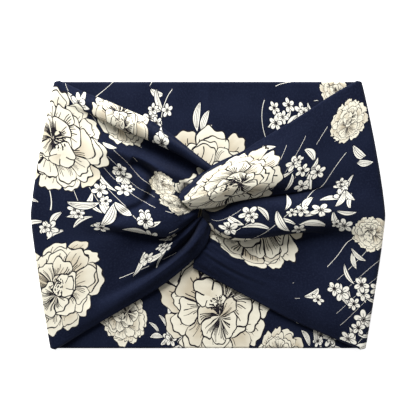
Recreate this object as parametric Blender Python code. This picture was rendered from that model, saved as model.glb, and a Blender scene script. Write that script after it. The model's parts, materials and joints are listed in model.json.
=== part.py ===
"""A wide knotted headband of stretch jersey, lying flat on its back panel with the knot on top.

One tube of jersey, an outer ply and an inner ply, makes the band. Its two gathered ends are
hooked round each other and sewn together, which is the knot. The band lies folded at its left
and right sides, so that the front of it rests on the back panel.

The loop opens on hinge lines along Y: two in the back, one at each side fold, and one at each
side of the knot. Each moving body hangs from an empty on its hinge line.

Metres. +X is the band's right, +Y its upper edge, +Z from the back panel to the knot.
The origin is the centre of the back panel's flat underside.
"""

import math

import bmesh
import bpy
from mathutils import Vector

# The flat band.
BAND_WIDTH = 0.240
BAND_HEIGHT = 0.176
PLY = 0.0010
PLY_SPACE = 0.0015
LAYER_SPACE = 0.0006
TUBE = 2 * PLY + PLY_SPACE
FOLD_RADIUS = TUBE + LAYER_SPACE / 2
GAP = 0.0004

# Hinge lines.
BEND_X = 0.035
BEND_GAP = 0.0015
FOLD_X = BAND_WIDTH / 2 - FOLD_RADIUS
BACK_Z = TUBE / 2
FOLD_Z = FOLD_RADIUS
FRONT_Z = 2 * FOLD_Z - BACK_Z

# The outline: straight side folds that draw in towards the upper and lower edges.
PANEL_END = FOLD_X - FOLD_RADIUS - GAP
CORNER_DRAW_IN = 0.0075
FOLD_STRAIGHT = 0.058
EDGE = BAND_HEIGHT / 2

# The front arms narrow towards the knot and gather into pleats there.
ARM_EDGE = [(BEND_X + BEND_GAP, 0.052), (0.055, 0.062), (0.081, 0.077), (0.1045, EDGE)]
PLEAT_HEIGHT = 0.0048
PLEAT_COUNT = 3
ARM_COLUMNS = 7
ARM_ROWS = 24

# The knot: two hooked loops, each a gathered end of the tube.
LOOP_ROOT = BEND_X - BEND_GAP
LOOP_REACH = 0.010
LOOP_LIMB_Y = 0.026
LOOP_LOW_Z = 0.0082
LOOP_RISE = 0.0132
LOOP_CREST = math.radians(55)
LOOP_ROOT_WIDTH = 0.046
LOOP_BIGHT_WIDTH = 0.0150
LOOP_THICK = 0.0084
LOOP_ROOT_THIN = 0.0020
LOOP_STATIONS = 26
LOOP_SIDES = 14

# Seams.
LONG_SEAM_WIDTH = 0.007
LONG_SEAM_THICK = 0.0007
ARM_SEAM_ROWS = 2
CROSS_SEAM = Vector((0.008, 0.010, 0.0032))
CROSS_SEAM_Z = 0.0066
CROSS_SEAM_ROUND = 0.0006

NAVY = (0.0150, 0.0185, 0.0440, 1)
NAVY_INNER = (0.0200, 0.0240, 0.0520, 1)
CREAM = (0.7300, 0.6900, 0.5600, 1)
THREAD = (0.0500, 0.0580, 0.1050, 1)


def clear_scene():
    for thing in list(bpy.data.objects):
        bpy.data.objects.remove(thing, do_unlink=True)


def material(name, colour, roughness):
    made = bpy.data.materials.new(name)
    made.use_nodes = True
    shader = made.node_tree.nodes["Principled BSDF"]
    shader.inputs["Base Color"].default_value = colour
    shader.inputs["Roughness"].default_value = roughness
    shader.inputs["Metallic"].default_value = 0
    return made


def pivot(name, place, parent=None):
    """An empty at a place in the world, on a hinge line."""
    empty = bpy.data.objects.new(name, None)
    bpy.context.scene.collection.objects.link(empty)
    empty["place"] = place
    empty.parent = parent
    start = Vector(parent["place"]) if parent else Vector((0, 0, 0))
    empty.location = Vector(place) - start
    return empty


def add_mesh(name, points, faces, body, finish):
    """A mesh from points in the world, hung from its body's empty."""
    mesh = bpy.data.meshes.new(name)
    start = Vector(body["place"])
    mesh.from_pydata([Vector(p) - start for p in points], [], faces)
    made = bpy.data.objects.new(name, mesh)
    bpy.context.scene.collection.objects.link(made)
    made.parent = body
    mesh.materials.append(finish)
    return made


def smooth(made, angle=40):
    made.data.shade_smooth()
    made.data.set_sharp_from_angle(angle=math.radians(angle))


def thicken(made, thickness):
    """Gives a sheet its thickness, half to each side."""
    solid = made.modifiers.new("Ply", "SOLIDIFY")
    solid.thickness = thickness
    solid.offset = 0
    solid.use_even_offset = True


def grid_faces(columns, rows):
    faces = []
    for i in range(columns):
        for j in range(rows):
            corner = i * (rows + 1) + j
            faces.append((corner, corner + rows + 1, corner + rows + 2, corner + 1))
    return faces


def along(table, x):
    """The value at x on straight lines between the table's points."""
    for (x0, y0), (x1, y1) in zip(table, table[1:]):
        if x <= x1:
            return y0 + (y1 - y0) * (x - x0) / (x1 - x0)
    return table[-1][1]


def side_x(y, straight_x):
    """Where a line along the side lies at height y: straight, then drawn in at the corners."""
    past = max(0.0, abs(y) - FOLD_STRAIGHT) / (EDGE - FOLD_STRAIGHT)
    return straight_x - CORNER_DRAW_IN * past


def arm_point(side, u, v, z):
    """A point of a front arm: u from the knot (0) to the side fold (1), v from -1 to 1 upwards."""
    start = BEND_X + BEND_GAP
    edge_x = start + u * (side_x(EDGE, PANEL_END) - start)
    height = along(ARM_EDGE, edge_x)
    x = start + u * (side_x(v * EDGE, PANEL_END) - start)
    wave = 0.5 - 0.5 * math.cos(2 * math.pi * PLEAT_COUNT * (v + 1) / 2)
    lift = PLEAT_HEIGHT * wave * (1 - u) ** 1.3
    return (side * x, v * height, z + lift)


def arm_ply(name, side, z, body, finish):
    points = []
    for i in range(ARM_COLUMNS + 1):
        for j in range(ARM_ROWS + 1):
            points.append(arm_point(side, i / ARM_COLUMNS, 2 * j / ARM_ROWS - 1, z))
    made = add_mesh(name, points, grid_faces(ARM_COLUMNS, ARM_ROWS), body, finish)
    thicken(made, PLY)
    smooth(made)


def arm_seam(name, side, body, finish):
    """The seam allowance along the arm's middle, between its two plies."""
    points = []
    for i in range(ARM_COLUMNS + 1):
        for j in range(ARM_SEAM_ROWS + 1):
            v = (2 * j / ARM_SEAM_ROWS - 1) * LONG_SEAM_WIDTH / BAND_HEIGHT
            points.append(arm_point(side, i / ARM_COLUMNS, v, FRONT_Z))
    made = add_mesh(name, points, grid_faces(ARM_COLUMNS, ARM_SEAM_ROWS), body, finish)
    thicken(made, LONG_SEAM_THICK)


def flat_sheet(name, outline, z, thickness, body, finish):
    points = [(x, y, z) for x, y in outline]
    made = add_mesh(name, points, [tuple(range(len(points)))], body, finish)
    thicken(made, thickness)


def rectangle(x0, x1, y):
    return [(x0, -y), (x1, -y), (x1, y), (x0, y)]


def back_side_outline(side):
    start = BEND_X + BEND_GAP
    corner = side_x(EDGE, PANEL_END)
    outline = [
        (start, -EDGE),
        (corner, -EDGE),
        (PANEL_END, -FOLD_STRAIGHT),
        (PANEL_END, FOLD_STRAIGHT),
        (corner, EDGE),
        (start, EDGE),
    ]
    return [(side * x, y) for x, y in outline]


def layers(middle_z):
    """The heights of the two plies of the tube about its middle: below and above."""
    half = (PLY_SPACE + PLY) / 2
    return middle_z - half, middle_z + half


def side_fold(name, side, body, finish):
    """The tube's two plies turning round at the side, as a cord that follows the outline."""
    line = bpy.data.curves.new(name, "CURVE")
    line.dimensions = "3D"
    line.bevel_depth = FOLD_RADIUS
    line.bevel_resolution = 4
    line.use_fill_caps = True
    heights = (-EDGE, -FOLD_STRAIGHT, FOLD_STRAIGHT, EDGE)
    spline = line.splines.new("POLY")
    spline.points.add(len(heights) - 1)
    start = Vector(body["place"])
    for point, y in zip(spline.points, heights):
        place = Vector((side * side_x(y, FOLD_X), y, FOLD_Z)) - start
        point.co = (*place, 1)
    made = bpy.data.objects.new(name, line)
    bpy.context.scene.collection.objects.link(made)
    made.parent = body
    line.materials.append(finish)


def loop_centre(turn):
    """The loop's centre line, from its lower root (-90 degrees) round the bight to its upper root."""
    x = -LOOP_REACH + (LOOP_ROOT + LOOP_REACH) * (1 - math.cos(turn))
    y = LOOP_LIMB_Y * math.sin(turn)
    if turn < -LOOP_CREST:
        rise = 0.0
    elif turn < LOOP_CREST:
        rise = 0.5 + 0.5 * math.sin(math.pi / 2 * turn / LOOP_CREST)
    else:
        rise = math.cos(math.pi / 2 * (turn - LOOP_CREST) / (math.pi / 2 - LOOP_CREST)) ** 2
    return Vector((x, y, LOOP_LOW_Z + LOOP_RISE * rise))


def knot_loop(name, side, body, finish):
    """A gathered end of the tube: wide where it leaves the arm, narrow round the other loop.

    The upper limb of the right loop lies on top. The left loop is the same, turned half round."""
    points = []
    step = math.pi / LOOP_STATIONS
    for i in range(LOOP_STATIONS + 1):
        turn = -math.pi / 2 + i * step
        here = loop_centre(turn)
        run = (loop_centre(turn + step / 20) - loop_centre(turn - step / 20)).normalized()
        across = Vector((-run.y, run.x, 0)).normalized()
        up = run.cross(across).normalized()
        spread = abs(math.sin(turn)) ** 3
        wide = LOOP_BIGHT_WIDTH + (LOOP_ROOT_WIDTH - LOOP_BIGHT_WIDTH) * spread
        thick = LOOP_THICK - LOOP_ROOT_THIN * spread
        for k in range(LOOP_SIDES):
            angle = 2 * math.pi * k / LOOP_SIDES
            place = here + across * (wide / 2 * math.cos(angle)) + up * (thick / 2 * math.sin(angle))
            points.append((side * place.x, side * place.y, place.z))
    faces = []
    for i in range(LOOP_STATIONS):
        for k in range(LOOP_SIDES):
            a = i * LOOP_SIDES + k
            b = i * LOOP_SIDES + (k + 1) % LOOP_SIDES
            faces.append((a, b, b + LOOP_SIDES, a + LOOP_SIDES))
    last = LOOP_STATIONS * LOOP_SIDES
    faces.append(tuple(reversed(range(LOOP_SIDES))))
    faces.append(tuple(range(last, last + LOOP_SIDES)))
    made = add_mesh(name, points, faces, body, finish)
    face_outwards(made)
    smooth(made, 50)


def cross_seam(name, body, finish):
    """The raw ends of the tube, overlocked together under the crossing of the loops."""
    shape = bmesh.new()
    bmesh.ops.create_cube(shape, size=1)
    bmesh.ops.scale(shape, verts=shape.verts, vec=CROSS_SEAM)
    bmesh.ops.bevel(shape, geom=shape.edges, offset=CROSS_SEAM_ROUND, segments=2, affect="EDGES")
    bmesh.ops.translate(shape, verts=shape.verts, vec=Vector((0, 0, CROSS_SEAM_Z)) - Vector(body["place"]))
    mesh = bpy.data.meshes.new(name)
    shape.to_mesh(mesh)
    shape.free()
    made = bpy.data.objects.new(name, mesh)
    bpy.context.scene.collection.objects.link(made)
    made.parent = body
    mesh.materials.append(finish)
    smooth(made)


def face_outwards(made):
    shape = bmesh.new()
    shape.from_mesh(made.data)
    bmesh.ops.recalc_face_normals(shape, faces=shape.faces)
    shape.to_mesh(made.data)
    shape.free()


def back_panel(label, outline, seam_outline, body):
    low, high = layers(BACK_Z)
    outer = material(label + "_outer_jersey", NAVY, 0.9)
    inner = material(label + "_inner_jersey", NAVY_INNER, 0.9)
    thread = material(label + "_thread", THREAD, 0.8)
    flat_sheet(label + "_outer_ply", outline, low, PLY, body, outer)
    flat_sheet(label + "_inner_ply", outline, high, PLY, body, inner)
    flat_sheet(label + "_long_seam", seam_outline, BACK_Z, LONG_SEAM_THICK, body, thread)


def build_side(label, side, root):
    """Everything on one side of the back panel's middle: back, side fold, arm and knot loop."""
    back = pivot("back_" + label + "_hinge", (side * BEND_X, 0, BACK_Z), root)
    front = pivot(label + "_fold_hinge", (side * FOLD_X, 0, FOLD_Z), back)
    knot = pivot(label + "_knot_hinge", (side * BEND_X, 0, FRONT_Z), front)

    start = side * (BEND_X + BEND_GAP)
    end = side * PANEL_END
    seam = rectangle(min(start, end), max(start, end), LONG_SEAM_WIDTH / 2)
    back_panel("back_" + label, back_side_outline(side), seam, back)
    side_fold(label + "_side_fold", side, back, material(label + "_fold_jersey", NAVY, 0.9))

    low, high = layers(FRONT_Z)
    arm = "front_" + label
    arm_ply(arm + "_outer_ply", side, high, front, material(arm + "_outer_jersey", NAVY, 0.9))
    arm_ply(arm + "_inner_ply", side, low, front, material(arm + "_inner_jersey", NAVY_INNER, 0.9))
    arm_seam(arm + "_long_seam", side, front, material(arm + "_thread", THREAD, 0.8))

    knot_loop("knot_" + label + "_loop", side, knot, material(label + "_loop_jersey", CREAM, 0.85))
    return knot


def build():
    clear_scene()
    root = pivot("back_centre_rest", (0, 0, 0))
    half = BEND_X - BEND_GAP
    back_panel("back_centre", rectangle(-half, half, EDGE), rectangle(-half, half, LONG_SEAM_WIDTH / 2), root)
    left_knot = build_side("left", -1, root)
    build_side("right", 1, root)
    cross_seam("knot_cross_seam", left_knot, material("cross_seam_thread", THREAD, 0.8))


build()
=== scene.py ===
"""The looks of a wide knotted headband: printed stretch jersey lying flat, with its twist knot on top.

Each piece is a stretch of the flattened tube: an outer face, an inner face and two rounded edges. The
front arms are smooth surfaces through listed guide lines, with creases pressed into them. The
print is a procedural material laid out in the cloth's own coordinates, kept in metres in the UV map
named "cloth"."""

import json
import math

import bpy
import numpy as np
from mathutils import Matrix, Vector


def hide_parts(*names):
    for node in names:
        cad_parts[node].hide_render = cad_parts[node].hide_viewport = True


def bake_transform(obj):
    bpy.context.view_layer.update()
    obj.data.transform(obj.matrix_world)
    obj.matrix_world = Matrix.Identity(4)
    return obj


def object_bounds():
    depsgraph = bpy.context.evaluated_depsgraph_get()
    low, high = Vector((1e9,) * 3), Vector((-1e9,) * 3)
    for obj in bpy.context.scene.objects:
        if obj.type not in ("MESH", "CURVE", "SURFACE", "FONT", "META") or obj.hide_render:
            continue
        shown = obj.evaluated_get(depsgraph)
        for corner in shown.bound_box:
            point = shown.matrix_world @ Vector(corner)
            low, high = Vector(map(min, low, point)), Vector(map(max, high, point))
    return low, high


MM = 0.001
TINY = 1e-9

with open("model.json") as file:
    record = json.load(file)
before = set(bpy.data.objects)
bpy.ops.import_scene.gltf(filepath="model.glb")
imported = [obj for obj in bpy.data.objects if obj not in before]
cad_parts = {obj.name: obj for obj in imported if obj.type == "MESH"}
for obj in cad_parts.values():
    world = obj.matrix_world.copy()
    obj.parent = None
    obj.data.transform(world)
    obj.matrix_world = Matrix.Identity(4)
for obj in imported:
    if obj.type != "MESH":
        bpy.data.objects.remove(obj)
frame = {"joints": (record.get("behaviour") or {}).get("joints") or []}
CAD_LOW, CAD_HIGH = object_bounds()
JOINTS = {joint["name"]: Vector(joint["pos_m"]) for joint in frame["joints"]}
FOLD = JOINTS["right_fold"]

# The flattened tube. The insets leave room inside the CAD's box for the rounded edges.
TUBE = 0.0026
EDGE_INSET = 0.0009
SIDE_INSET = 0.0015
EDGE = (CAD_HIGH.y - CAD_LOW.y) / 2 - EDGE_INSET
HALF_WIDTH = CAD_HIGH.x - SIDE_INSET
BACK_MIDDLE = 0.0016
TURN_RADIUS = FOLD.z - BACK_MIDDLE
FRONT_MIDDLE = FOLD.z + TURN_RADIUS

# The band's sides: half the width at the lower and upper corners, and how softly the sides bow.
LOWER_CORNER = 0.1055
UPPER_CORNER = 0.1030
SIDE_BOW = 1.25

# The front arms: their thickness, the least they are squeezed to, and their faces' least heights.
ARM_THICK = 0.0034
LEAST_THICK = 0.0014
LOWEST_INNER = 0.0034
LOWEST_OUTER = 0.0048

# Where a side fold's cloth ends: on the back, and as a share of the way along the arm.
SPLIT_X = 0.078
SPLIT_P = 0.25

# The cloth's own coordinates: half the width of a face, the width of a rounded edge, and half the
# loop's length. The arms are stretched, so their cloth is shorter than their surface by PULLED.
HALF_CLOTH = 0.088
RIM_CLOTH = 0.004
CLOTH_PERIOD = 4 * HALF_CLOTH + 2 * RIM_CLOTH
HALF_LOOP = 2 * HALF_WIDTH + math.pi * TURN_RADIUS
PULLED = 0.90

# Mesh density: rows across the band, points round a free edge, and steps along each stretch.
ROWS = 210
EDGE_CROWDING = 0.25
RIM_POINTS = 4
BACK_STEPS = 59
FOLD_BACK_STEPS = 25
TURN_STEPS = 15
FOLD_ARM_STEPS = 30
ARM_STEPS = 150
CREASE_POINTS = 60
RELAX_TIMES = 2
SHARP_DEGREES = 70

# The fine pleats that gather towards the knot: where they start and end, as shares of the way along
# the arm. Each wave has its count across the cloth, share of the height, sway and phase.
PLEAT_HEIGHT = 0.0003
PLEATS_START = 0.35
PLEATS_GROW = 0.5
PLEATS_END = 1.02
PLEATS_FADE = 0.1
PLEAT_BENDS = 5
PLEAT_WAVES = [(11, 1.0, 2.4, 0.0), (19, 0.6, -4.2, 1.3)]

# Front arms in millimetres: guide lines across the cloth, from its lower edge (0) to its upper edge
# (1), each through six points from beside the side fold to the knot. The points lie on the outer face.
ARM_COLUMNS = (SPLIT_P, 0.42, 0.58, 0.74, 0.87, 1.0)
LEFT_ARM = {
    0.00: [(-78, -74, 6), (-57, -61.5, 6), (-34, -47.5, 6.5),
           (-14, -31.5, 8.5), (-3, -19.5, 11), (1.5, -7, 11)],
    0.05: [(-78, -69, 8), (-59, -57.5, 8.5), (-36.5, -43.5, 9.5),
           (-17, -28, 12), (-7, -17, 15), (-0.5, -5, 13)],
    0.10: [(-78, -62, 8.5), (-61, -54, 8), (-38, -41, 8.5),
           (-18.5, -25.5, 10), (-9.5, -15, 13), (-2.5, -2.5, 12)],
    0.13: [(-78, -57, 8), (-62, -51.5, 6), (-39, -39, 5),
           (-20, -24, 5.5), (-11, -14, 8), (-3.5, -1, 10)],
    0.18: [(-78, -49, 8), (-61, -44.5, 5.6), (-40.5, -34.5, 7),
           (-22, -21.5, 9.5), (-12, -12.5, 11.5), (-4, -0.5, 11)],
    0.24: [(-78, -38, 8.3), (-59.5, -34, 6.4), (-41.5, -26.5, 7.8),
           (-25, -18, 9.5), (-14, -10.5, 12), (-4, -0.5, 11)],
    0.30: [(-78, -27, 8.5), (-58, -24, 7.6), (-42, -19, 6.2),
           (-27, -15, 6.5), (-16, -9.5, 9.5), (-5, -1, 10)],
    0.36: [(-78, -18, 8.5), (-58, -16, 9), (-43, -12, 5.2),
           (-29, -9, 5.5), (-18, -8, 8), (-7, -2, 9)],
    0.41: [(-78, -13, 8.5), (-58, -12, 9.5), (-43, -6, 5.4),
           (-29, -4, 6), (-18, -6, 8.5), (-7, -2, 9)],
    0.44: [(-78, -10, 9), (-58, -11, 10.5), (-43, -8.5, 7.5),
           (-28, -9, 8.5), (-18, -8.5, 10), (-7, -1.5, 9.5)],
    0.46: [(-78, -8, 9.5), (-58, -10.5, 12), (-43, -12, 10.5),
           (-28, -14, 11.5), (-19, -10.5, 12), (-7, -1, 10)],
    0.50: [(-78, -3, 10.5), (-58, -7, 15), (-43, -8.5, 16),
           (-28, -10, 17), (-19, -7, 16), (-6, 2, 11)],
    0.56: [(-78, 5, 10), (-58, 5, 13), (-43, 4, 15),
           (-27, 2, 17), (-19, 1, 16), (-6, 5, 10)],
    0.63: [(-78, 17, 8), (-58, 15, 8), (-44, 13, 12),
           (-28, 9, 17), (-19, 6, 16), (-8, 8, 9)],
    0.70: [(-78, 28, 7), (-58, 24, 6.5), (-44, 20, 11.5),
           (-30, 17, 17), (-20, 13, 15), (-8, 11, 8)],
    0.77: [(-78, 38, 8), (-58, 35, 9), (-44, 29, 12),
           (-30, 25, 16), (-19, 20, 13), (-7, 15, 8)],
    0.83: [(-78, 48, 8), (-58, 42, 12), (-42, 36, 15),
           (-26, 29.5, 16), (-14, 23, 11), (-4, 18, 7)],
    0.87: [(-78, 55, 6.5), (-58, 47.5, 8), (-42, 41, 8.5),
           (-25, 34, 8.5), (-11, 27.5, 7), (0, 22, 6)],
    0.90: [(-78, 61, 6), (-58, 52, 5), (-41, 45, 5),
           (-23, 38, 5), (-8, 30, 5), (2, 24, 5)],
    0.93: [(-78, 66, 7), (-57, 57.5, 8), (-38, 51, 8),
           (-17, 41, 8), (-4, 32.5, 7), (5, 25, 6)],
    0.955: [(-78, 68, 9), (-58, 57, 12), (-39, 49, 13),
            (-18, 39, 13), (-5, 31, 11), (5, 24, 8)],
    0.98: [(-78, 74, 9.5), (-57.5, 64.5, 14), (-38, 56, 16),
           (-15, 42.5, 15.5), (-3, 33.5, 13), (6, 26, 8)],
    1.00: [(-78, 79, 6), (-57, 70, 8), (-37, 60.5, 10),
           (-11, 42, 11), (1, 33, 9), (8.5, 27, 7)],
}
RIGHT_ARM = {
    0.00: [(78, -78.5, 6), (55, -68.5, 6), (33, -57, 6),
           (14, -47, 6), (3, -41, 6.5), (-10, -34, 6)],
    0.05: [(78, -73, 7.5), (55, -62, 7.5), (33, -51, 7.5),
           (14, -41, 7.5), (3, -35, 8), (-9, -28, 7)],
    0.20: [(78, -50, 7), (55, -44, 7), (33, -37, 8),
           (15, -30, 9), (5, -24, 9), (-5, -18, 8)],
    0.33: [(78, -25, 5), (55, -22, 5), (33, -21, 5),
           (17, -20, 6), (7, -16, 7), (-3, -12, 7)],
    0.37: [(78, -14, 5), (55, -9.5, 5), (33, -10.5, 5.5),
           (17, -12.5, 7), (7, -12, 7), (-1, -8, 7)],
    0.40: [(78, -11.5, 7), (55, -12.5, 8.5), (33, -15.5, 9.5),
           (17, -16.5, 10.5), (7, -13, 11), (0, -7, 9)],
    0.44: [(78, -8, 11), (55, -10.5, 14), (33, -13, 16),
           (17, -13.5, 17), (7, -10, 16), (1, -4, 12)],
    0.51: [(78, 1, 13.5), (55, 0, 16), (33, -1, 18),
           (17, -3, 18.5), (7, -3, 16), (1, -1, 12)],
    0.57: [(78, 8, 11), (55, 8, 14), (33, 8, 16),
           (17, 5, 16), (7, 2, 14), (0, 1, 11)],
    0.60: [(78, 12, 8), (55, 12, 9), (33, 12, 11),
           (17, 9, 12), (7, 4, 12), (-3, 3, 10)],
    0.63: [(78, 17, 6.5), (55, 15.5, 6), (33, 16, 7),
           (17, 12, 8), (6, 7, 9), (-6, 5, 9)],
    0.67: [(78, 20, 7), (55, 14.5, 8.5), (33, 11.5, 13),
           (17, 8.5, 16), (4, 5, 17), (-11, 4, 14)],
    0.72: [(78, 28, 8), (55, 21, 11), (33, 15, 18.5),
           (17, 13, 22), (2, 9, 23), (-15, 7, 17)],
    0.81: [(78, 43, 8), (55, 34, 11.5), (33, 25, 20),
           (16, 22.5, 24.5), (0, 17, 24.5), (-18, 10, 17)],
    0.92: [(78, 62, 7.5), (55, 49, 9.5), (33, 38, 14),
           (18, 33.5, 20), (0, 26.5, 20), (-20, 13, 13)],
    1.00: [(78, 76, 6), (55, 60.5, 7), (33, 47.5, 8.5),
           (22, 41, 10), (3, 32, 11), (-21, 14.5, 8)],
}


# Valleys pressed into the arms, in millimetres: path, depth and half-width. A negative depth is a ridge.
LEFT_CREASES = [
    ([(-51, 36), (-43, 32), (-37, 26), (-36.5, 17), (-41, 8)], 9, 3.0),
    ([(-38, 12), (-45, 6), (-54, 2), (-63, -5)], 3, 2.5),
    ([(-31, 31), (-25, 22), (-22, 10), (-18, -4)], -2.5, 4.0),
    ([(-14, 21), (-16, 12), (-12, 2)], 4, 2.5),
    ([(-30, -32), (-20, -22), (-11, -12), (-6, -2)], 2, 2.0),
    ([(-67, 31), (-57, 24), (-50, 15)], 2, 4.0),
    ([(-12, -28), (-6, -18), (-2, -8)], 1.5, 1.8),
]
RIGHT_CREASES = [
    ([(-10, 2), (5, 6), (17, 10), (33, 14), (62, 15)], 3, 2.5),
    ([(8, -14), (18, -22), (34, -30)], 1.2, 4.0),
    ([(-4, 24), (12, 29), (30, 33)], 1.0, 3.0),
    ([(0, -20), (14, -32), (36, -46)], -0.5, 4.0),
]


# ---------------------------------------------------------------- curves and surfaces


def spline(knots, values, at):
    """A smooth curve through values at knots, read at each place in at, along the first axis."""
    knots = np.asarray(knots, float)
    values = np.asarray(values, float)
    slopes = np.gradient(values, knots, axis=0)
    start = np.clip(np.searchsorted(knots, at, side="right") - 1, 0, len(knots) - 2)
    shape = (-1,) + (1,) * (values.ndim - 1)
    step = (knots[start + 1] - knots[start]).reshape(shape)
    t = ((at - knots[start]).reshape(shape)) / step
    return (
        (2 * t**3 - 3 * t**2 + 1) * values[start]
        + (t**3 - 2 * t**2 + t) * step * slopes[start]
        + (3 * t**2 - 2 * t**3) * values[start + 1]
        + (t**3 - t**2) * step * slopes[start + 1]
    )


def smooth_step(t):
    t = np.clip(t, 0, 1)
    return t * t * (3 - 2 * t)


def row_places():
    """Places across the band, from 0 to 1, closer together towards its edges."""
    even = np.linspace(0, 1, ROWS + 1)
    crowded = 0.5 - 0.5 * np.cos(math.pi * even)
    return (1 - EDGE_CROWDING) * even + EDGE_CROWDING * crowded


def side_outline(v):
    """Half the band's width at each place across it: two slanting lines that meet in a soft bow."""
    from_middle = np.abs(2 * v - 1)
    corner = LOWER_CORNER + (UPPER_CORNER - LOWER_CORNER) * v
    return HALF_WIDTH - (HALF_WIDTH - corner) * from_middle**SIDE_BOW


def arm_surface(guides, side, places):
    """The outer face of a front arm: an array of stations by rows by xyz.

    It starts on top of the side fold and runs smoothly through the guide points."""
    across = np.array(sorted(guides))
    points = np.array([guides[place] for place in across], float) * MM
    fold_x = side * (side_outline(across) - TURN_RADIUS - TUBE / 2)
    fold_y = (2 * across - 1) * EDGE
    fold_z = np.full(len(across), FRONT_MIDDLE + TUBE / 2)
    fold_top = np.stack([fold_x, fold_y, fold_z], axis=1)[:, None, :]
    points = np.concatenate([fold_top, points], axis=1)
    along = spline((0.0, *ARM_COLUMNS), points.transpose(1, 0, 2), places)
    face = spline(across, along.transpose(1, 0, 2), row_places())
    return face.transpose(1, 0, 2)


def gathers(face, places, side):
    """Adds the fine pleats that gather towards the knot."""
    rows = row_places()[None, :]
    grown = smooth_step((places - PLEATS_START) / PLEATS_GROW)[:, None]
    fade = smooth_step((PLEATS_END - places) / PLEATS_FADE)[:, None]
    sway = np.sin(PLEAT_BENDS * places + side)[:, None]
    for count, share, swing, phase in PLEAT_WAVES:
        wave = np.sin(2 * math.pi * count * rows + swing * sway + phase)
        face[..., 2] += PLEAT_HEIGHT * share * grown * fade * wave
    return face


def press(face, creases):
    """Presses each crease into the face, fading out at both ends of its path."""
    share = np.linspace(0, 1, CREASE_POINTS)
    for path, depth, width in creases:
        points = spline(np.linspace(0, 1, len(path)), np.array(path, float) * MM, share)
        gap = np.linalg.norm(face[..., None, :2] - points, axis=-1)
        fade = np.sqrt(np.sin(math.pi * share[gap.argmin(axis=-1)]))
        face[..., 2] -= depth * MM * fade * np.exp(-((gap.min(axis=-1) / (width * MM)) ** 2))
    face[..., 2] = np.maximum(face[..., 2], LOWEST_OUTER)
    return face


def relax(face, times):
    """Softens the face: each point goes half-way to its neighbours' mean. The border stays."""
    for _ in range(times):
        middle = face[1:-1, 1:-1]
        around = (face[:-2, 1:-1] + face[2:, 1:-1] + face[1:-1, :-2] + face[1:-1, 2:]) / 4
        face[1:-1, 1:-1] = (middle + around) / 2
    return face


# ---------------------------------------------------------------- meshes


def rounded_edge(outer, inner, neighbour_outer):
    """Points from the outer to the inner face round a free edge, for every station."""
    middle = (outer + inner) / 2
    half = (outer - inner) / 2
    out = outer - neighbour_outer
    out[..., 2] = 0
    out /= np.maximum(np.linalg.norm(out, axis=-1, keepdims=True), TINY)
    radius = np.linalg.norm(half, axis=-1, keepdims=True)
    points = []
    for k in range(1, RIM_POINTS + 1):
        angle = math.pi * k / (RIM_POINTS + 1)
        points.append(middle + half * math.cos(angle) + out * radius * math.sin(angle))
    return np.stack(points, axis=1)


def across_cloth():
    """Where each point round the tube lies across the cloth, and which row it belongs to."""
    rows = (2 * row_places() - 1) * HALF_CLOTH
    rim = np.linspace(0, RIM_CLOTH, RIM_POINTS + 2)[1:-1]
    across = np.concatenate([
        rows,
        HALF_CLOTH + rim,
        2 * HALF_CLOTH + RIM_CLOTH - rows[::-1],
        3 * HALF_CLOTH + RIM_CLOTH + rim,
        [CLOTH_PERIOD - HALF_CLOTH],
    ])
    rows_up = np.arange(ROWS + 1)
    row_of = np.concatenate([
        rows_up,
        np.full(RIM_POINTS, ROWS),
        rows_up[::-1],
        np.zeros(RIM_POINTS + 1, int),
    ])
    return across, row_of


def end_faces(base, reverse):
    """Closes one end of a tube: a strip between the two faces and a cap at each rounded edge."""
    opposite = base + 2 * ROWS + 1 + RIM_POINTS
    faces = [(base + j, base + j + 1, opposite - j - 1, opposite - j) for j in range(ROWS)]
    faces.append(tuple(base + ROWS + k for k in range(RIM_POINTS + 2)))
    faces.append(tuple(opposite + k for k in range(RIM_POINTS + 1)) + (base,))
    return [face[::-1] for face in faces] if reverse else faces


def place_in_scene(name, data):
    made = bpy.data.objects.new(name, data)
    bpy.context.scene.collection.objects.link(made)
    return made


def tube_mesh(name, outer, inner, along_cloth):
    """A closed mesh from the outer and inner faces, and the cloth's length along them.

    All three are arrays of stations by rows."""
    upper = rounded_edge(outer[:, -1], inner[:, -1], outer[:, -2])
    lower = rounded_edge(outer[:, 0], inner[:, 0], outer[:, 1])[:, ::-1]
    loops = np.concatenate([outer, upper, inner[:, ::-1], lower], axis=1)
    stations, around = loops.shape[:2]

    station, column = np.meshgrid(np.arange(stations - 1), np.arange(around), indexing="ij")
    steps = ((0, 0), (0, 1), (1, 1), (1, 0))
    corners = [(station + s) * around + (column + c) % around for s, c in steps]
    faces = np.stack(corners, axis=-1).reshape(-1, 4).tolist()
    across, row_of = across_cloth()
    cloth = [
        np.stack([along_cloth[station + s, row_of[column + c]], across[column + c]], axis=-1)
        for s, c in steps
    ]
    cloth = np.stack(cloth, axis=2).reshape(-1, 2)
    ends = end_faces(0, True) + end_faces((stations - 1) * around, False)
    blank = np.zeros((sum(len(face) for face in ends), 2))

    mesh = bpy.data.meshes.new(name)
    mesh.from_pydata(loops.reshape(-1, 3).tolist(), [], faces + ends)
    layer = mesh.uv_layers.new(name="cloth")
    layer.data.foreach_set("uv", np.concatenate([cloth, blank]).astype(np.float32).ravel())
    return place_in_scene(name, mesh)


def running_length(face):
    """The length along each row of a face, from its first station."""
    steps = np.linalg.norm(np.diff(face, axis=0), axis=-1)
    return np.concatenate([np.zeros((1, face.shape[1])), np.cumsum(steps, axis=0)])


def inner_face(outer):
    """The underside of an arm: a tube's thickness below the outer face, above the back panel."""
    inner = outer.copy()
    inner[..., 2] = np.maximum(outer[..., 2] - ARM_THICK, LOWEST_INNER)
    inner[..., 2] = np.minimum(inner[..., 2], outer[..., 2] - LEAST_THICK)
    return inner


# ---------------------------------------------------------------- the pieces


def side_name(side):
    """The band's left is at negative x."""
    return "left" if side < 0 else "right"


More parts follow.
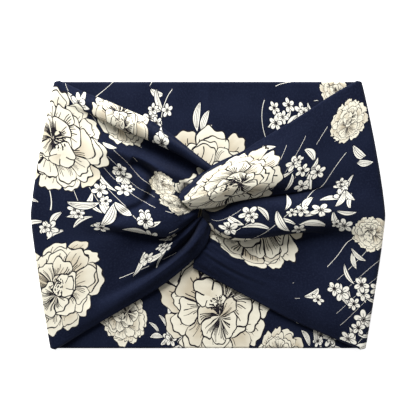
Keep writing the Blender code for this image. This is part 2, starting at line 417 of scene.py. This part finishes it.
def back_half(side, rate):
    """Half of the back panel, from the middle to the split. The cloth runs at its own rate in each row."""
    x = np.linspace(0, SPLIT_X, BACK_STEPS + 1)[:, None]
    outer = np.zeros((BACK_STEPS + 1, ROWS + 1, 3))
    outer[..., 0] = side * x
    outer[..., 1] = (2 * row_places() - 1) * EDGE
    inner = outer.copy()
    outer[..., 2] = BACK_MIDDLE - TUBE / 2
    inner[..., 2] = BACK_MIDDLE + TUBE / 2
    return tube_mesh("back_" + side_name(side) + "_cloth", outer, inner, side * (HALF_LOOP - x * rate))


def fold_piece(side, arm, places):
    """The tube round the side: from the back's split, round the fold, to the arm's split.

    Also returns the cloth's length at the arm's split, and how fast it runs along the back, row by row."""
    rows = row_places()
    turn_x = side_outline(rows) - TURN_RADIUS - TUBE / 2
    y = (2 * rows - 1) * EDGE
    outer = []
    inner = []
    for share in np.linspace(0, 1, FOLD_BACK_STEPS + 1)[:-1]:
        x = SPLIT_X + (turn_x - SPLIT_X) * share
        middle = np.stack([side * x, y, np.full_like(x, BACK_MIDDLE)], axis=1)
        outer.append(middle - [0, 0, TUBE / 2])
        inner.append(middle + [0, 0, TUBE / 2])
    centre = np.stack([side * turn_x, y, np.full_like(y, FOLD.z)], axis=1)
    for angle in np.linspace(0, math.pi, TURN_STEPS + 1)[:-1]:
        spoke = np.array([side * math.sin(angle), 0, -math.cos(angle)])
        outer.append(centre + spoke * (TURN_RADIUS + TUBE / 2))
        inner.append(centre + spoke * (TURN_RADIUS - TUBE / 2))
    front = arm[: np.searchsorted(places, SPLIT_P) + 1]
    outer = np.concatenate([np.array(outer), front])
    inner = np.concatenate([np.array(inner), inner_face(front)])

    middle = (outer + inner) / 2
    run = running_length(middle)
    length = SPLIT_X + run[-1] - run
    rate = (HALF_LOOP - length[FOLD_BACK_STEPS]) / turn_x
    length[:FOLD_BACK_STEPS] = HALF_LOOP - np.abs(middle[:FOLD_BACK_STEPS, :, 0]) * rate
    length = side * length
    return tube_mesh(side_name(side) + "_fold_cloth", outer, inner, length), length[-1], rate


def arm_piece(side, arm, places, length_at_split):
    """The front arm, from the split beside the side fold to its gathered end in the knot."""
    outer = arm[np.searchsorted(places, SPLIT_P):]
    length = length_at_split[None, :] - side * running_length(outer) * PULLED
    return tube_mesh("front_" + side_name(side) + "_cloth", outer, inner_face(outer), length)


def finish_mesh(piece, side, material):
    """Shades and paints a piece. The left pieces are mirrored, so their faces are turned outwards."""
    if side < 0:
        piece.data.flip_normals()
    piece.data.shade_smooth()
    piece.data.set_sharp_from_angle(angle=math.radians(SHARP_DEGREES))
    piece.data.materials.append(material)


def panel_nodes(panel):
    """The CAD nodes of a panel: its two plies and its stretch of the long seam."""
    return [panel + "_outer_ply", panel + "_inner_ply", panel + "_long_seam"]


def build_side(side, guides, creases, material):
    """Half of the back, its side fold and its front arm, in place of the CAD parts they stand for, which
    are hidden.
    """
    beside_fold = np.linspace(0, SPLIT_P, FOLD_ARM_STEPS + 1)
    places = np.concatenate([beside_fold, np.linspace(SPLIT_P, 1, ARM_STEPS + 1)[1:]])
    arm = arm_surface(guides, side, places)
    arm = relax(press(gathers(arm, places, side), creases), RELAX_TIMES)

    fold, length_at_split, rate = fold_piece(side, arm, places)
    back = back_half(side, rate)
    front = arm_piece(side, arm, places, length_at_split)
    for piece in (back, fold, front):
        finish_mesh(piece, side, material)

    name = side_name(side)
    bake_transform(back)
    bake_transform(fold)
    set_fold_weights(fold)
    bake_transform(front)
    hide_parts(*panel_nodes("back_" + name))
    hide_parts(name + "_side_fold")
    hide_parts(*panel_nodes("front_" + name), "knot_" + name + "_loop")


def set_fold_weights(fold):
    """Reads the fold's vertex positions into an array; it sets no weights on the fold."""
    co = np.empty(len(fold.data.vertices) * 3, np.float32)
    fold.data.vertices.foreach_get("co", co)


# ---------------------------------------------------------------- formulas as shader nodes


class Value:
    """A number in a shader's node tree. Arithmetic and comparisons on it add Math nodes."""

    def __init__(self, tree, socket):
        self.tree = tree
        self.socket = socket

    def math(self, operation, *others):
        node = self.tree.nodes.new("ShaderNodeMath")
        node.operation = operation
        for place, item in enumerate((self, *others)):
            link(self.tree, item, node.inputs[place])
        return Value(self.tree, node.outputs[0])

    def __add__(self, other):
        return self.math("ADD", other)

    def __mul__(self, other):
        return self.math("MULTIPLY", other)

    def __sub__(self, other):
        return self.math("SUBTRACT", other)

    def __truediv__(self, other):
        return self.math("DIVIDE", other)

    def __rsub__(self, other):
        return self.math("MULTIPLY_ADD", -1.0, other)

    def __lt__(self, other):
        return self.math("LESS_THAN", other)

    def __gt__(self, other):
        return self.math("GREATER_THAN", other)

    def absolute(self):
        return self.math("ABSOLUTE")

    def either(self, other):
        return self.math("MAXIMUM", other)

    def mix(self, other, share):
        """This value where share is 0, other where share is 1."""
        return self + (other - self) * share

    def ramp(self, low, high):
        """0 below low, 1 above high, smooth between."""
        node = self.tree.nodes.new("ShaderNodeMapRange")
        node.interpolation_type = "SMOOTHSTEP"
        self.tree.links.new(self.socket, node.inputs["Value"])
        link(self.tree, low, node.inputs["From Min"])
        link(self.tree, high, node.inputs["From Max"])
        return Value(self.tree, node.outputs["Result"])


def link(tree, value, socket):
    """Feeds a socket from a Value, an output socket or a plain number or vector."""
    if isinstance(value, Value):
        tree.links.new(value.socket, socket)
    elif isinstance(value, bpy.types.NodeSocket):
        tree.links.new(value, socket)
    else:
        socket.default_value = value


def set_inputs(node, settings):
    for name, value in settings.items():
        node.inputs[name].default_value = value


def vector_math(tree, operation, *vectors, scale=None):
    node = tree.nodes.new("ShaderNodeVectorMath")
    node.operation = operation
    for place, item in enumerate(vectors):
        link(tree, item, node.inputs[place])
    if scale is not None:
        link(tree, scale, node.inputs["Scale"])
    if operation == "LENGTH":
        return Value(tree, node.outputs["Value"])
    return node.outputs["Vector"]


def split(tree, vector):
    node = tree.nodes.new("ShaderNodeSeparateXYZ")
    tree.links.new(vector, node.inputs[0])
    return [Value(tree, output) for output in node.outputs]


def join(tree, x, y):
    node = tree.nodes.new("ShaderNodeCombineXYZ")
    link(tree, x, node.inputs["X"])
    link(tree, y, node.inputs["Y"])
    return node.outputs[0]


def noise(tree, vector, scale, detail):
    """Smooth two-dimensional noise: a value around 0.5, and a colour that holds three such values."""
    node = tree.nodes.new("ShaderNodeTexNoise")
    node.noise_dimensions = "2D"
    set_inputs(node, {"Scale": scale, "Detail": detail})
    tree.links.new(vector, node.inputs["Vector"])
    return Value(tree, node.outputs["Fac"]), node.outputs["Color"]


def turned(tree, vector, angle):
    """The vector turned about Z by an angle, a number or a Value."""
    node = tree.nodes.new("ShaderNodeVectorRotate")
    node.rotation_type = "Z_AXIS"
    tree.links.new(vector, node.inputs["Vector"])
    link(tree, angle, node.inputs["Angle"])
    return node.outputs["Vector"]


def random_number(tree, value):
    node = tree.nodes.new("ShaderNodeTexWhiteNoise")
    node.noise_dimensions = "1D"
    link(tree, value, node.inputs["W"])
    return Value(tree, node.outputs["Value"])


def node_group(name, outputs, fill):
    """A node group that takes a vector. outputs gives names and types, fill(tree, vector) the values."""
    group = bpy.data.node_groups.new(name, "ShaderNodeTree")
    group.interface.new_socket("Vector", in_out="INPUT", socket_type="NodeSocketVector")
    for label, kind in outputs:
        group.interface.new_socket(label, in_out="OUTPUT", socket_type=kind)
    entry = group.nodes.new("NodeGroupInput")
    results = fill(group, entry.outputs[0])
    leaving = group.nodes.new("NodeGroupOutput")
    for place, result in enumerate(results):
        link(group, result, leaving.inputs[place])
    return group


def use_group(tree, group, vector):
    node = tree.nodes.new("ShaderNodeGroup")
    node.node_tree = group
    link(tree, vector, node.inputs[0])
    return node.outputs


# A Mix node's inputs and output for each kind of data. They share their names, so they go by number.
MIX_SOCKETS = {"VECTOR": (4, 5, 1), "RGBA": (6, 7, 2)}


def mix_node(tree, kind, first, second, share):
    """The first where share is 0, the second where share is 1."""
    node = tree.nodes.new("ShaderNodeMix")
    node.data_type = kind
    first_input, second_input, output = MIX_SOCKETS[kind]
    link(tree, share, node.inputs["Factor"])
    link(tree, first, node.inputs[first_input])
    link(tree, second, node.inputs[second_input])
    return node.outputs[output]


def mix_colour(tree, first, second, share):
    return mix_node(tree, "RGBA", first, second, share)


# ---------------------------------------------------------------- the floral print

# The width of a drawn line, in millimetres, and half the print's repeat along and across the cloth.
INK_WIDTH = 0.34
HALF_REPEAT = (HALF_LOOP / MM, CLOTH_PERIOD / MM / 2, 1)
BLANK = 0

# Large blooms in the cloth's own millimetres: along the loop, across it, radius, turn, seed.
# The front's middle is (0, 0), the back's middle is +-247 along; across, the outer face runs from -88
# to 88 and the inner face from 92 to 268. A BLANK keeps a plain stretch clear of its neighbours.
LARGE_BLOOMS = [
    (-101, 52, 31, 0.4, 1),
    (-101, -50, 28, 1.9, 2),
    (34, -20, 27, 0.9, 3),
    (36, -8, 28, 0.0, BLANK),
    (16, 51, 31, 2.6, 4),
    (-58, 83, 17, 0.2, 5),
    (95, 67, 12, 1.1, 6),
    (108, -13, 11.5, 2.2, 7),
    (-27, 41, 11, 0.7, 8),
    (-18, 21, 12, 2.4, 22),
    (-242, 160, 36, 1.4, 9),
    (236, 240, 40, 0.3, 10),
    (-173, 247, 19, 2.0, 11),
    (181, 276, 19, 0.5, 12),
    (131, 98, 12, 0.9, 13),
    (62, 178, 28, 2.9, 14),
    (-66, 190, 26, 1.7, 15),
    (155, 46, 27, 2.1, 16),
    (192, -34, 30, 0.8, 17),
    (240, 40, 25, 1.3, 18),
    (-152, -38, 28, 2.7, 19),
    (-197, 38, 30, 0.5, 20),
    (-236, -50, 22, 1.8, 21),
]

# Bunches of small flowers and leaves: along the loop, across it, reach.
BUNCHES = [
    (-71, -4, 5),
    (-61, 32, 12),
    (-73, 16, 8),
    (-36, -47, 11),
    (-27, -43, 7),
    (-42, 0, 8),
    (-88, 84, 8),
    (-36, 78, 8),
    (-104, -4, 11),
    (-88, 3, 6),
    (63, 45, 13),
    (60, 4, 14),
    (37, 2, 9),
    (21, -2, 6),
    (88, 20, 9),
    (88, -4, 7),
    (98, -50, 17),
    (70, -60, 6),
    (101, -79, 9),
    (-198, 111, 12),
    (181, 113, 11),
    (160, 109, 8),
    (-216, 240, 5),
    (145, 262, 13),
    (-217, 265, 9),
    (140, -75, 12),
    (215, 5, 10),
    (-170, -5, 12),
    (-232, -10, 10),
    (-150, 75, 12),
    (0, 225, 14),
]

# Long leaves: along the loop, across it, half length, direction in degrees.
LONG_LEAVES = [
    (-83, 12, 11, 5),
    (-66, 5, 9.5, 65),
    (-58, 10, 7, -35),
    (-117, 11, 4.5, -35),
    (-74, 58, 6, -80),
    (-66, 60, 5, -5),
    (102, 44, 8, -50),
    (105, 37, 6.5, -20),
    (88, 14, 7, 60),
    (94, 16, 5, -55),
    (38, 79, 6, -35),
    (100, -29, 5.5, -30),
    (97, -32, 5, -78),
    (-235, 114, 10, 84),
    (-241, 117, 8, 68),
    (-244, 122, 4.5, 45),
    (-203, -38, 8, -22),
    (-199, 255, 5.5, -42),
    (-200, 261, 5.5, 0),
    (-207, 251, 5.5, -55),
    (-214, 251, 5.5, -62),
    (159, 262, 7, -50),
    (152, 260, 6, -72),
]


def nearest_motif(name, motifs):
    """A node group: coordinates in the nearest motif, scaled to a radius of 1, and its seed number."""
    outputs = (("Local", "NodeSocketVector"), ("Seed", "NodeSocketFloat"))
    return node_group(name, outputs, lambda tree, cloth: compare_motifs(tree, cloth, motifs))


def offset_from(tree, cloth, along, across):
    """The way to a point of the cloth from the nearest copy of a place in the repeating print."""
    offset = vector_math(tree, "SUBTRACT", cloth, (along, across, 0))
    return vector_math(tree, "WRAP", offset, HALF_REPEAT, tuple(-size for size in HALF_REPEAT))


def compare_motifs(tree, cloth, motifs):
    """Goes through the motifs, keeping the nearest one's local coordinates and seed number."""
    best = local = seed = None
    for along, across, radius, turn, number in motifs:
        offset = offset_from(tree, cloth, along, across)
        scaled = vector_math(tree, "MULTIPLY", offset, (1 / radius, 1 / radius, 0))
        distance = vector_math(tree, "LENGTH", scaled)
        spun = turned(tree, scaled, turn)
        if best is None:
            best, local, seed = distance, spun, distance * 0 + number
        else:
            closer = distance < best
            local = mix_node(tree, "VECTOR", local, spun, closer)
            seed = seed.mix(number, closer)
            best = best.math("MINIMUM", distance)
    return local, seed


# A bloom's rings of petals, from the outermost: reach, number of petals and where the first starts.
# Lengths in this drawing are shares of the bloom's radius. RING_TWIST is a value and what each ring
# adds to it. In the other pairs, chance adds up to the second value, or a ramp runs from one to the
# other.
BLOOM_RINGS = [
    (1.16, 11, 0.1),
    (1.0, 10, 0.45),
    (0.82, 8, 0.2),
    (0.64, 7, 0.7),
    (0.46, 6, 0.1),
    (0.30, 4, 0.5),
]
BLOOM_LINE = INK_WIDTH / 25
BLOOM_RUFFLE = 0.20
RUFFLE_SCALE = 2.2
RING_SHIFT = 0.05
RING_TWIST = (0.5, -0.25)
PETAL_LENGTH = (0.88, 0.12)
PETAL_ROUNDING = 0.16
PETAL_UNEVENNESS = 0.16
PETAL_RIPPLES = 16.0
RIPPLE_DEPTH = 0.02
SIDE_LINES_FROM = 0.35
PETAL_HAIRS = 11.0
HAIR_LINE = 0.55 * BLOOM_LINE
HAIRS_UP_TO = 0.55
HAIRS_LEFT_OUT = 0.2
PARTING = 0.08
SHADE_FROM_BORDER = (0.02, 0.30)
SHADE_DEPTH = (0.15, 0.4)
DARK_PETALS = (0.6, 0.9)
DARK_PETAL_SHADE = 0.35
STAMENS_RADIUS = 0.19
STAMENS_SCALE = 22.0
STAMENS_LEVEL = 0.56


def petal_ring(tree, x, y, seed, number):
    """One ring of petals: its cover, its cover with the outline, its ink and how deep its shading is.

    The plain factors of seed, number and chance only make every bloom, ring and petal differ."""
    reach, count, start = BLOOM_RINGS[number]
    # Inner rings sit a little off the middle, so that the bloom isn't a target.
    x = x + (seed * 2.1 + number * 1.7).math("SINE") * (RING_SHIFT * number)
    y = y + (seed * 3.3 + number * 2.3).math("SINE") * (RING_SHIFT * number)
    radius = (x * x + y * y).math("SQRT")
    twist = radius * (RING_TWIST[0] + RING_TWIST[1] * number)
    angle = y.math("ARCTAN2", x) / (2 * math.pi) * count + start + seed * 0.37 + twist
    angle = angle + (angle * 1.7 + seed).math("SINE") * PETAL_UNEVENNESS
    petal = angle.math("FLOOR").math("WRAP", count, 0.0)
    place = angle.math("FRACT") - 0.5
    petal_angle = 2 * math.pi / count

    chance = random_number(tree, petal + seed * 7.3 + number * 11.1)
    ripple = (place * PETAL_RIPPLES + chance * 20).math("SINE") * RIPPLE_DEPTH
    lobe = 1 - (place * 2).math("POWER", 4.0) * PETAL_ROUNDING - ripple
    border = lobe * (chance * PETAL_LENGTH[1] + PETAL_LENGTH[0]) * reach
    inside = radius < border
    outline = (radius - border).absolute() < BLOOM_LINE
    side_gap = (0.5 - place.absolute()) * radius * petal_angle
    ink = outline.either((side_gap < BLOOM_LINE) * (radius > reach * SIDE_LINES_FROM))

    # Fine hairs run in from the petal's border, except in the small ring at the heart.
    if number < len(BLOOM_RINGS) - 1:
        hair = place * PETAL_HAIRS + (radius * 5.0 + chance * 9).math("SINE") * 0.5
        hair_gap = (hair.math("FRACT") - 0.5).absolute() * radius * (petal_angle / PETAL_HAIRS)
        hair_chance = random_number(tree, hair.math("FLOOR") + petal * 13.7 + number * 3.1)
        hair_end = border - (border - reach * HAIRS_UP_TO) * hair_chance
        hairs = (hair_gap < HAIR_LINE) * (radius < hair_end)
        ink = ink.either(hairs * (hair_chance > HAIRS_LEFT_OUT) * (place.absolute() > PARTING))

    shade = (border - radius).ramp(*SHADE_FROM_BORDER) * (chance * SHADE_DEPTH[1] + SHADE_DEPTH[0])
    shade = shade + chance.ramp(*DARK_PETALS) * DARK_PETAL_SHADE
    return inside, inside.either(outline), ink, shade


def bloom(tree, cloth):
    """A peony: rings of ruffled petals, each drawn over the ring outside it.

    Returns how much of the place it covers, how much ink is on it and how deep its shading is."""
    local, seed = use_group(tree, nearest_motif("nearest_bloom", LARGE_BLOOMS), cloth)
    seed = Value(tree, seed)
    own_place = vector_math(tree, "ADD", local, join(tree, seed * 3.7, seed * 1.3))
    _, ruffle = noise(tree, own_place, RUFFLE_SCALE, 1.0)
    ruffle = vector_math(tree, "SUBTRACT", ruffle, (0.5, 0.5, 0.5))
    local = vector_math(tree, "ADD", local, vector_math(tree, "SCALE", ruffle, scale=BLOOM_RUFFLE))
    x, y, _ = split(tree, local)
    rings = [petal_ring(tree, x, y, seed, number) for number in range(len(BLOOM_RINGS))]
    cover, drawn, ink, depth = rings[0]
    ink = ink * drawn
    for inside, drawn, ring_ink, ring_depth in rings[1:]:
        ink = ink.mix(ring_ink, drawn)
        depth = depth.mix(ring_depth, inside)
    dots, _ = noise(tree, local, STAMENS_SCALE, 0.0)
    stamens = (dots > STAMENS_LEVEL) * ((x * x + y * y).math("SQRT") < STAMENS_RADIUS)
    printed = seed > BLANK + 0.5
    return cover * printed, ink.either(stamens) * printed, depth


def compare_bunches(tree, cloth):
    """Goes through the bunches, keeping the least distance from a middle, as a share of the reach."""
    best = None
    for along, across, reach in BUNCHES:
        distance = vector_math(tree, "LENGTH", offset_from(tree, cloth, along, across)) / reach
        best = distance if best is None else best.math("MINIMUM", distance)
    return [best]


def bunch_distance(tree, cloth):
    """Distance from the nearest bunch's middle, as a share of its reach."""
    group = bpy.data.node_groups.get("bunch_distance")
    if group is None:
        group = node_group("bunch_distance", [("Distance", "NodeSocketFloat")], compare_bunches)
    return Value(tree, use_group(tree, group, cloth)[0])


def scatter(tree, cloth, spacing, shift, randomness):
    """One motif per Voronoi cell.

    Returns local millimetres about it, its distance from a bunch and two random numbers for it."""
    node = tree.nodes.new("ShaderNodeTexVoronoi")
    node.voronoi_dimensions = "2D"
    set_inputs(node, {"Scale": 1.0, "Randomness": randomness})
    place = vector_math(tree, "SCALE", vector_math(tree, "ADD", cloth, shift), scale=1 / spacing)
    tree.links.new(place, node.inputs["Vector"])
    local = vector_math(tree, "SUBTRACT", place, node.outputs["Position"])
    local = vector_math(tree, "SCALE", local, scale=spacing)
    point = vector_math(tree, "SCALE", node.outputs["Position"], scale=spacing)
    point = vector_math(tree, "SUBTRACT", point, shift)
    spin, first, second = split(tree, node.outputs["Color"])
    return turned(tree, local, spin * (2 * math.pi)), bunch_distance(tree, point), first, second


# The small flowers' and leaves' shapes, as shares of their radius or length. A pair is a least value
# and how much chance adds to it.
FLOWER_PETALS = 5
FLOWER_RADIUS = (0.7, 0.4)
FLOWER_NOTCH = 0.72
FLOWER_HEART = 0.22
FLOWER_MIDRIB = 0.6
FLOWER_SCATTER = 0.5
FLOWER_THINNING = 0.35
LEAF_WIDTH = (0.15, 0.16)
LEAF_BEND = 0.25
LEAF_RIB_END = 0.7
LEAF_SCATTER = 0.6
LEAF_THINNING = 0.5
LONG_LEAF_WIDTH = (0.22, 0.12)
LONG_LEAF_BEND = 0.2
LONG_LEAF_LINE = INK_WIDTH / 8
LONG_RIB_END = 0.8
SIDE_RIB_END = 0.75


def small_flowers(tree, cloth, spacing, shift, size, spread):
    """Five-petalled flowers: the gap left round them, their white shape and their lines."""
    local, away, chance, scale = scatter(tree, cloth, spacing, shift, FLOWER_SCATTER)
    x, y, _ = split(tree, local)
    reach = scale * (size * FLOWER_RADIUS[1]) + size * FLOWER_RADIUS[0]
    radius = (x * x + y * y).math("SQRT") / reach
    place = (y.math("ARCTAN2", x) * (FLOWER_PETALS / (2 * math.pi))).math("FRACT") - 0.5
    petal_angle = 2 * math.pi / FLOWER_PETALS
    border = 1 - (place * 2.0).math("POWER", 2.0) * FLOWER_NOTCH
    present = away + chance * FLOWER_THINNING < spread
    inside = (radius < border) * present

    line = INK_WIDTH / size
    side = (0.5 - place.absolute()) * radius * petal_angle < line * 0.8
    heart = (radius - FLOWER_HEART).absolute() < line * 0.6
    midrib = (place.absolute() * radius * petal_angle < line * 0.5) * (radius < FLOWER_MIDRIB)
    outline = border - radius < line * 0.4
    halo = (radius - border < line * 2.2) * present
    return halo, inside, side.either(heart).either(midrib).either(outline) * inside


def leaves(tree, cloth, spacing, shift, length, spread):
    """Pointed leaves with a midrib, and a second line on some: their gap, shape and lines."""
    local, away, chance, width = scatter(tree, cloth, spacing, shift, LEAF_SCATTER)
    x, y, _ = split(tree, local)
    x = x / length
    y = y / length - x * x * LEAF_BEND
    half_width = (1 - x * x) * (width * LEAF_WIDTH[1] + LEAF_WIDTH[0])
    present = away + chance * LEAF_THINNING < spread
    line = INK_WIDTH / length
    shape = (y.absolute() < half_width) * (x.absolute() < 1.0) * present
    halo = (y.absolute() < half_width + 2 * line) * (x.absolute() < 1.0 + 2 * line) * present
    rib = y.absolute() < line * 0.5
    second_rib = ((y - half_width * 0.5).absolute() < line * 0.35) * (width > 0.4)
    return halo, shape, rib.either(second_rib) * (x < LEAF_RIB_END) * shape


def long_leaves(tree, cloth):
    """Slender leaves with three ribs, each at its own place: their gap, shape and lines."""
    motifs = [
        (along, across, reach, -math.radians(direction), number)
        for number, (along, across, reach, direction) in enumerate(LONG_LEAVES, start=1)
    ]
    local, seed = use_group(tree, nearest_motif("nearest_leaf", motifs), cloth)
    x, y, _ = split(tree, local)
    y = y - (x * x - 0.4) * LONG_LEAF_BEND
    chance = random_number(tree, seed)
    half_width = (1 - x * x) * (chance * LONG_LEAF_WIDTH[1] + LONG_LEAF_WIDTH[0])
    line = LONG_LEAF_LINE
    shape = (y.absolute() < half_width) * (x.absolute() < 1.0)
    halo = (y.absolute() < half_width + 2 * line) * (x.absolute() < 1.0 + 2 * line)
    rib = y.absolute() < 0.5 * line
    side_ribs = (y.absolute() - half_width * 0.5).absolute() < 0.4 * line
    side_ribs = side_ribs * (x.absolute() < SIDE_RIB_END)
    return halo, shape, rib.either(side_ribs) * (x < LONG_RIB_END) * shape


# The stems: contours of one noise, broken up by another one.
STEM_SCALE = 0.006
STEM_CONTOURS = 20
STEM_LINE = 0.011
STEM_BREAKS_SCALE = 0.03
STEM_BREAKS_SHIFT = (310, 90, 0)
STEM_BREAKS_LEVEL = 0.44
STEM_REACH = 2.3


def long_stems(tree, cloth):
    """Thin wandering lines near the bunches."""
    field, _ = noise(tree, cloth, STEM_SCALE, 0.0)
    shifted = vector_math(tree, "ADD", cloth, STEM_BREAKS_SHIFT)
    breaks, _ = noise(tree, shifted, STEM_BREAKS_SCALE, 0.0)
    from_contour = ((field * STEM_CONTOURS).math("FRACT") - 0.5).absolute()
    near_bunch = bunch_distance(tree, cloth) < STEM_REACH
    return (from_contour < STEM_LINE) * (breaks > STEM_BREAKS_LEVEL) * near_bunch


# ---------------------------------------------------------------- materials

# Colours, in linear light.
CREAM = (0.76, 0.725, 0.60, 1)
CREAM_SHADE = (0.50, 0.43, 0.31, 1)
WHITE = (0.78, 0.76, 0.68, 1)
INK = (0.012, 0.010, 0.014, 1)
NAVY = (0.0034, 0.0056, 0.0175, 1)
NAVY_LIGHT = (0.0062, 0.0095, 0.0255, 1)
# The lighter navy of the jersey's grain; on the seam thread the same colour is a painted highlight.
NAVY_GRAIN_AND_HIGHLIGHT = (0.0110, 0.0155, 0.0360, 1)

# Layers of leaves and of small flowers, each with its spacing, shift and size in millimetres, and how
# far it spreads from a bunch, as a share of the bunch's reach.
LEAF_LAYERS = [
    (14.0, (7, 3, 0), 7.0, 1.25),
    (17.0, (3, 91, 0), 9.0, 1.3),
]
FLOWER_LAYERS = [
    (15.0, (3, 11, 0), 6.4, 1.15),
    (13.0, (60, 25, 0), 5.0, 0.95),
]

# The jersey's fading and grain: noise scales per millimetre, and where each starts and is full.
FADING_SCALE = 0.03
FADING = (0.3, 0.75)
GRAIN_SCALE = 0.8
GRAIN = (0.4, 0.8)
GRAIN_SHARE = 0.6

# The knit's pitches are in millimetres and the bumps' depths in metres.
RIB_PITCH = 0.8
STITCH_PITCH = 1.0
PILLING_SCALE = 0.9
KNIT_DEPTH = 0.00012
TWIST_SCALE = 900.0
TWIST_DEPTH = 0.0001


def new_material(name):
    """A material, its node tree and its shader."""
    made = bpy.data.materials.new(name)
    made.use_nodes = True
    return made, made.node_tree, made.node_tree.nodes["Principled BSDF"]


def add_bump(tree, shader, height, strength, depth):
    bump = tree.nodes.new("ShaderNodeBump")
    set_inputs(bump, {"Strength": strength, "Distance": depth})
    tree.links.new(height.socket, bump.inputs["Height"])
    tree.links.new(bump.outputs["Normal"], shader.inputs["Normal"])


def jersey_material():
    """Matte navy jersey, printed: knit ribs, slight fading, a grain and the floral print."""
    made, tree, shader = new_material("printed_jersey")
    coordinates = tree.nodes.new("ShaderNodeUVMap")
    coordinates.uv_map = "cloth"
    cloth = vector_math(tree, "SCALE", coordinates.outputs[0], scale=1 / MM)

    fading, _ = noise(tree, cloth, FADING_SCALE, 3.0)
    grain, _ = noise(tree, cloth, GRAIN_SCALE, 2.0)
    colour = mix_colour(tree, NAVY, NAVY_LIGHT, fading.ramp(*FADING))
    colour = mix_colour(tree, colour, NAVY_GRAIN_AND_HIGHLIGHT, grain.ramp(*GRAIN) * GRAIN_SHARE)
    colour = mix_colour(tree, colour, WHITE, long_stems(tree, cloth))
    layers = [leaves(tree, cloth, *layer) for layer in LEAF_LAYERS]
    layers += [small_flowers(tree, cloth, *layer) for layer in FLOWER_LAYERS]
    layers.append(long_leaves(tree, cloth))
    for halo, shape, lines in layers:
        colour = mix_colour(tree, colour, NAVY, halo)
        colour = mix_colour(tree, colour, WHITE, shape)
        colour = mix_colour(tree, colour, INK, lines)
    cover, ink, depth = bloom(tree, cloth)
    petals = mix_colour(tree, CREAM, CREAM_SHADE, depth)
    colour = mix_colour(tree, colour, petals, cover)
    colour = mix_colour(tree, colour, INK, ink)
    tree.links.new(colour, shader.inputs["Base Color"])
    set_inputs(shader, {
        "Roughness": 0.88,
        "Specular IOR Level": 0.08,
        "Sheen Weight": 0.03,
        "Sheen Roughness": 0.5,
    })
    add_knit(tree, cloth, shader)
    return made


def add_knit(tree, cloth, shader):
    """The knit's fine ribs along the loop, and a soft unevenness, as bump."""
    x, y, _ = split(tree, cloth)
    ribs = (y * (2 * math.pi / RIB_PITCH)).math("SINE")
    stitches = (x * (2 * math.pi / STITCH_PITCH) + ribs * 0.8).math("SINE")
    pilling, _ = noise(tree, cloth, PILLING_SCALE, 3.0)
    height = ribs * 0.5 + stitches * 0.3 + pilling * 1.6
    add_bump(tree, shader, height, strength=0.35, depth=KNIT_DEPTH)


def thread_material():
    """Navy sewing thread: a fine twist along it, as bump, with the twist's crests painted a lighter navy
    as a painted highlight.
    """
    made, tree, shader = new_material("seam_thread")
    twist = tree.nodes.new("ShaderNodeTexWave")
    twist.bands_direction = "DIAGONAL"
    twist.inputs["Scale"].default_value = TWIST_SCALE
    place = tree.nodes.new("ShaderNodeTexCoord").outputs["Object"]
    tree.links.new(place, twist.inputs["Vector"])
    lit = Value(tree, twist.outputs["Fac"])
    # Painted highlight: where the twist's bump is high, the thread is painted the lighter navy.
    tree.links.new(mix_colour(tree, NAVY, NAVY_GRAIN_AND_HIGHLIGHT, lit), shader.inputs["Base Color"])
    shader.inputs["Roughness"].default_value = 0.6
    add_bump(tree, shader, lit, strength=0.5, depth=TWIST_DEPTH)
    return made


# ---------------------------------------------------------------- the stage

# Half the floor's size, the world's light on the band, the key light, and a camera that sees
# VIEW_WIDTH metres of the floor.
FLOOR_HALF = 3.0
WORLD_LIGHT = 0.27
KEY_PLACE = Vector((-0.20, 0.62, 0.42))
KEY_SIZE = 0.5
KEY_POWER = 13.5
LENS = 80
SENSOR_WIDTH = 36
VIEW_WIDTH = 0.2796
VIEW_MIDDLE_Y = 0.0047


def add_floor():
    """A pale floor that shines a little, so that it stays near white, as in a cut-out picture."""
    mesh = bpy.data.meshes.new("floor")
    corners = [(x * FLOOR_HALF, y * FLOOR_HALF, 0) for x, y in ((-1, -1), (1, -1), (1, 1), (-1, 1))]
    mesh.from_pydata(corners, [], [(0, 1, 2, 3)])
    paint, _, shader = new_material("floor_paint")
    set_inputs(shader, {
        "Base Color": (0.95, 0.95, 0.95, 1),
        "Emission Color": (1, 1, 1, 1),
        "Emission Strength": 0.8,
        "Roughness": 0.9,
    })
    mesh.materials.append(paint)
    place_in_scene("floor", mesh)


def add_world():
    """A white world that looks fully bright to the camera and lights the band softly."""
    world = bpy.data.worlds.new("studio")
    world.use_nodes = True
    tree = world.node_tree
    background = tree.nodes["Background"]
    background.inputs["Color"].default_value = (1, 1, 1, 1)
    seen = tree.nodes.new("ShaderNodeLightPath")
    strength = tree.nodes.new("ShaderNodeMapRange")
    strength.inputs["To Min"].default_value = WORLD_LIGHT
    tree.links.new(seen.outputs["Is Camera Ray"], strength.inputs["Value"])
    tree.links.new(strength.outputs["Result"], background.inputs["Strength"])
    bpy.context.scene.world = world


def add_key():
    """A soft light from the upper left, pointed at the band's middle."""
    key = bpy.data.lights.new("key", "AREA")
    key.energy = KEY_POWER
    key.size = KEY_SIZE
    light = place_in_scene("key", key)
    light.location = KEY_PLACE
    light.rotation_euler = (-KEY_PLACE).to_track_quat("-Z", "Y").to_euler()


def add_camera():
    """A camera straight above the band."""
    camera = bpy.data.cameras.new("camera")
    camera.lens = LENS
    camera.sensor_width = SENSOR_WIDTH
    view = place_in_scene("camera", camera)
    view.location = (0, VIEW_MIDDLE_Y, VIEW_WIDTH * LENS / SENSOR_WIDTH)
    bpy.context.scene.camera = view


def stage():
    bpy.context.scene.view_settings.view_transform = "Standard"
    add_floor()
    add_world()
    add_key()
    add_camera()


def build():
    cloth = jersey_material()
    build_side(-1, LEFT_ARM, LEFT_CREASES, cloth)
    build_side(1, RIGHT_ARM, RIGHT_CREASES, cloth)
    # The two halves of the back meet in the middle of back_centre, and the left one stands for it.
    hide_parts(*panel_nodes("back_centre"))
    seam = bpy.data.objects["knot_cross_seam"]
    seam.data.materials.clear()
    seam.data.materials.append(thread_material())
    stage()


build()
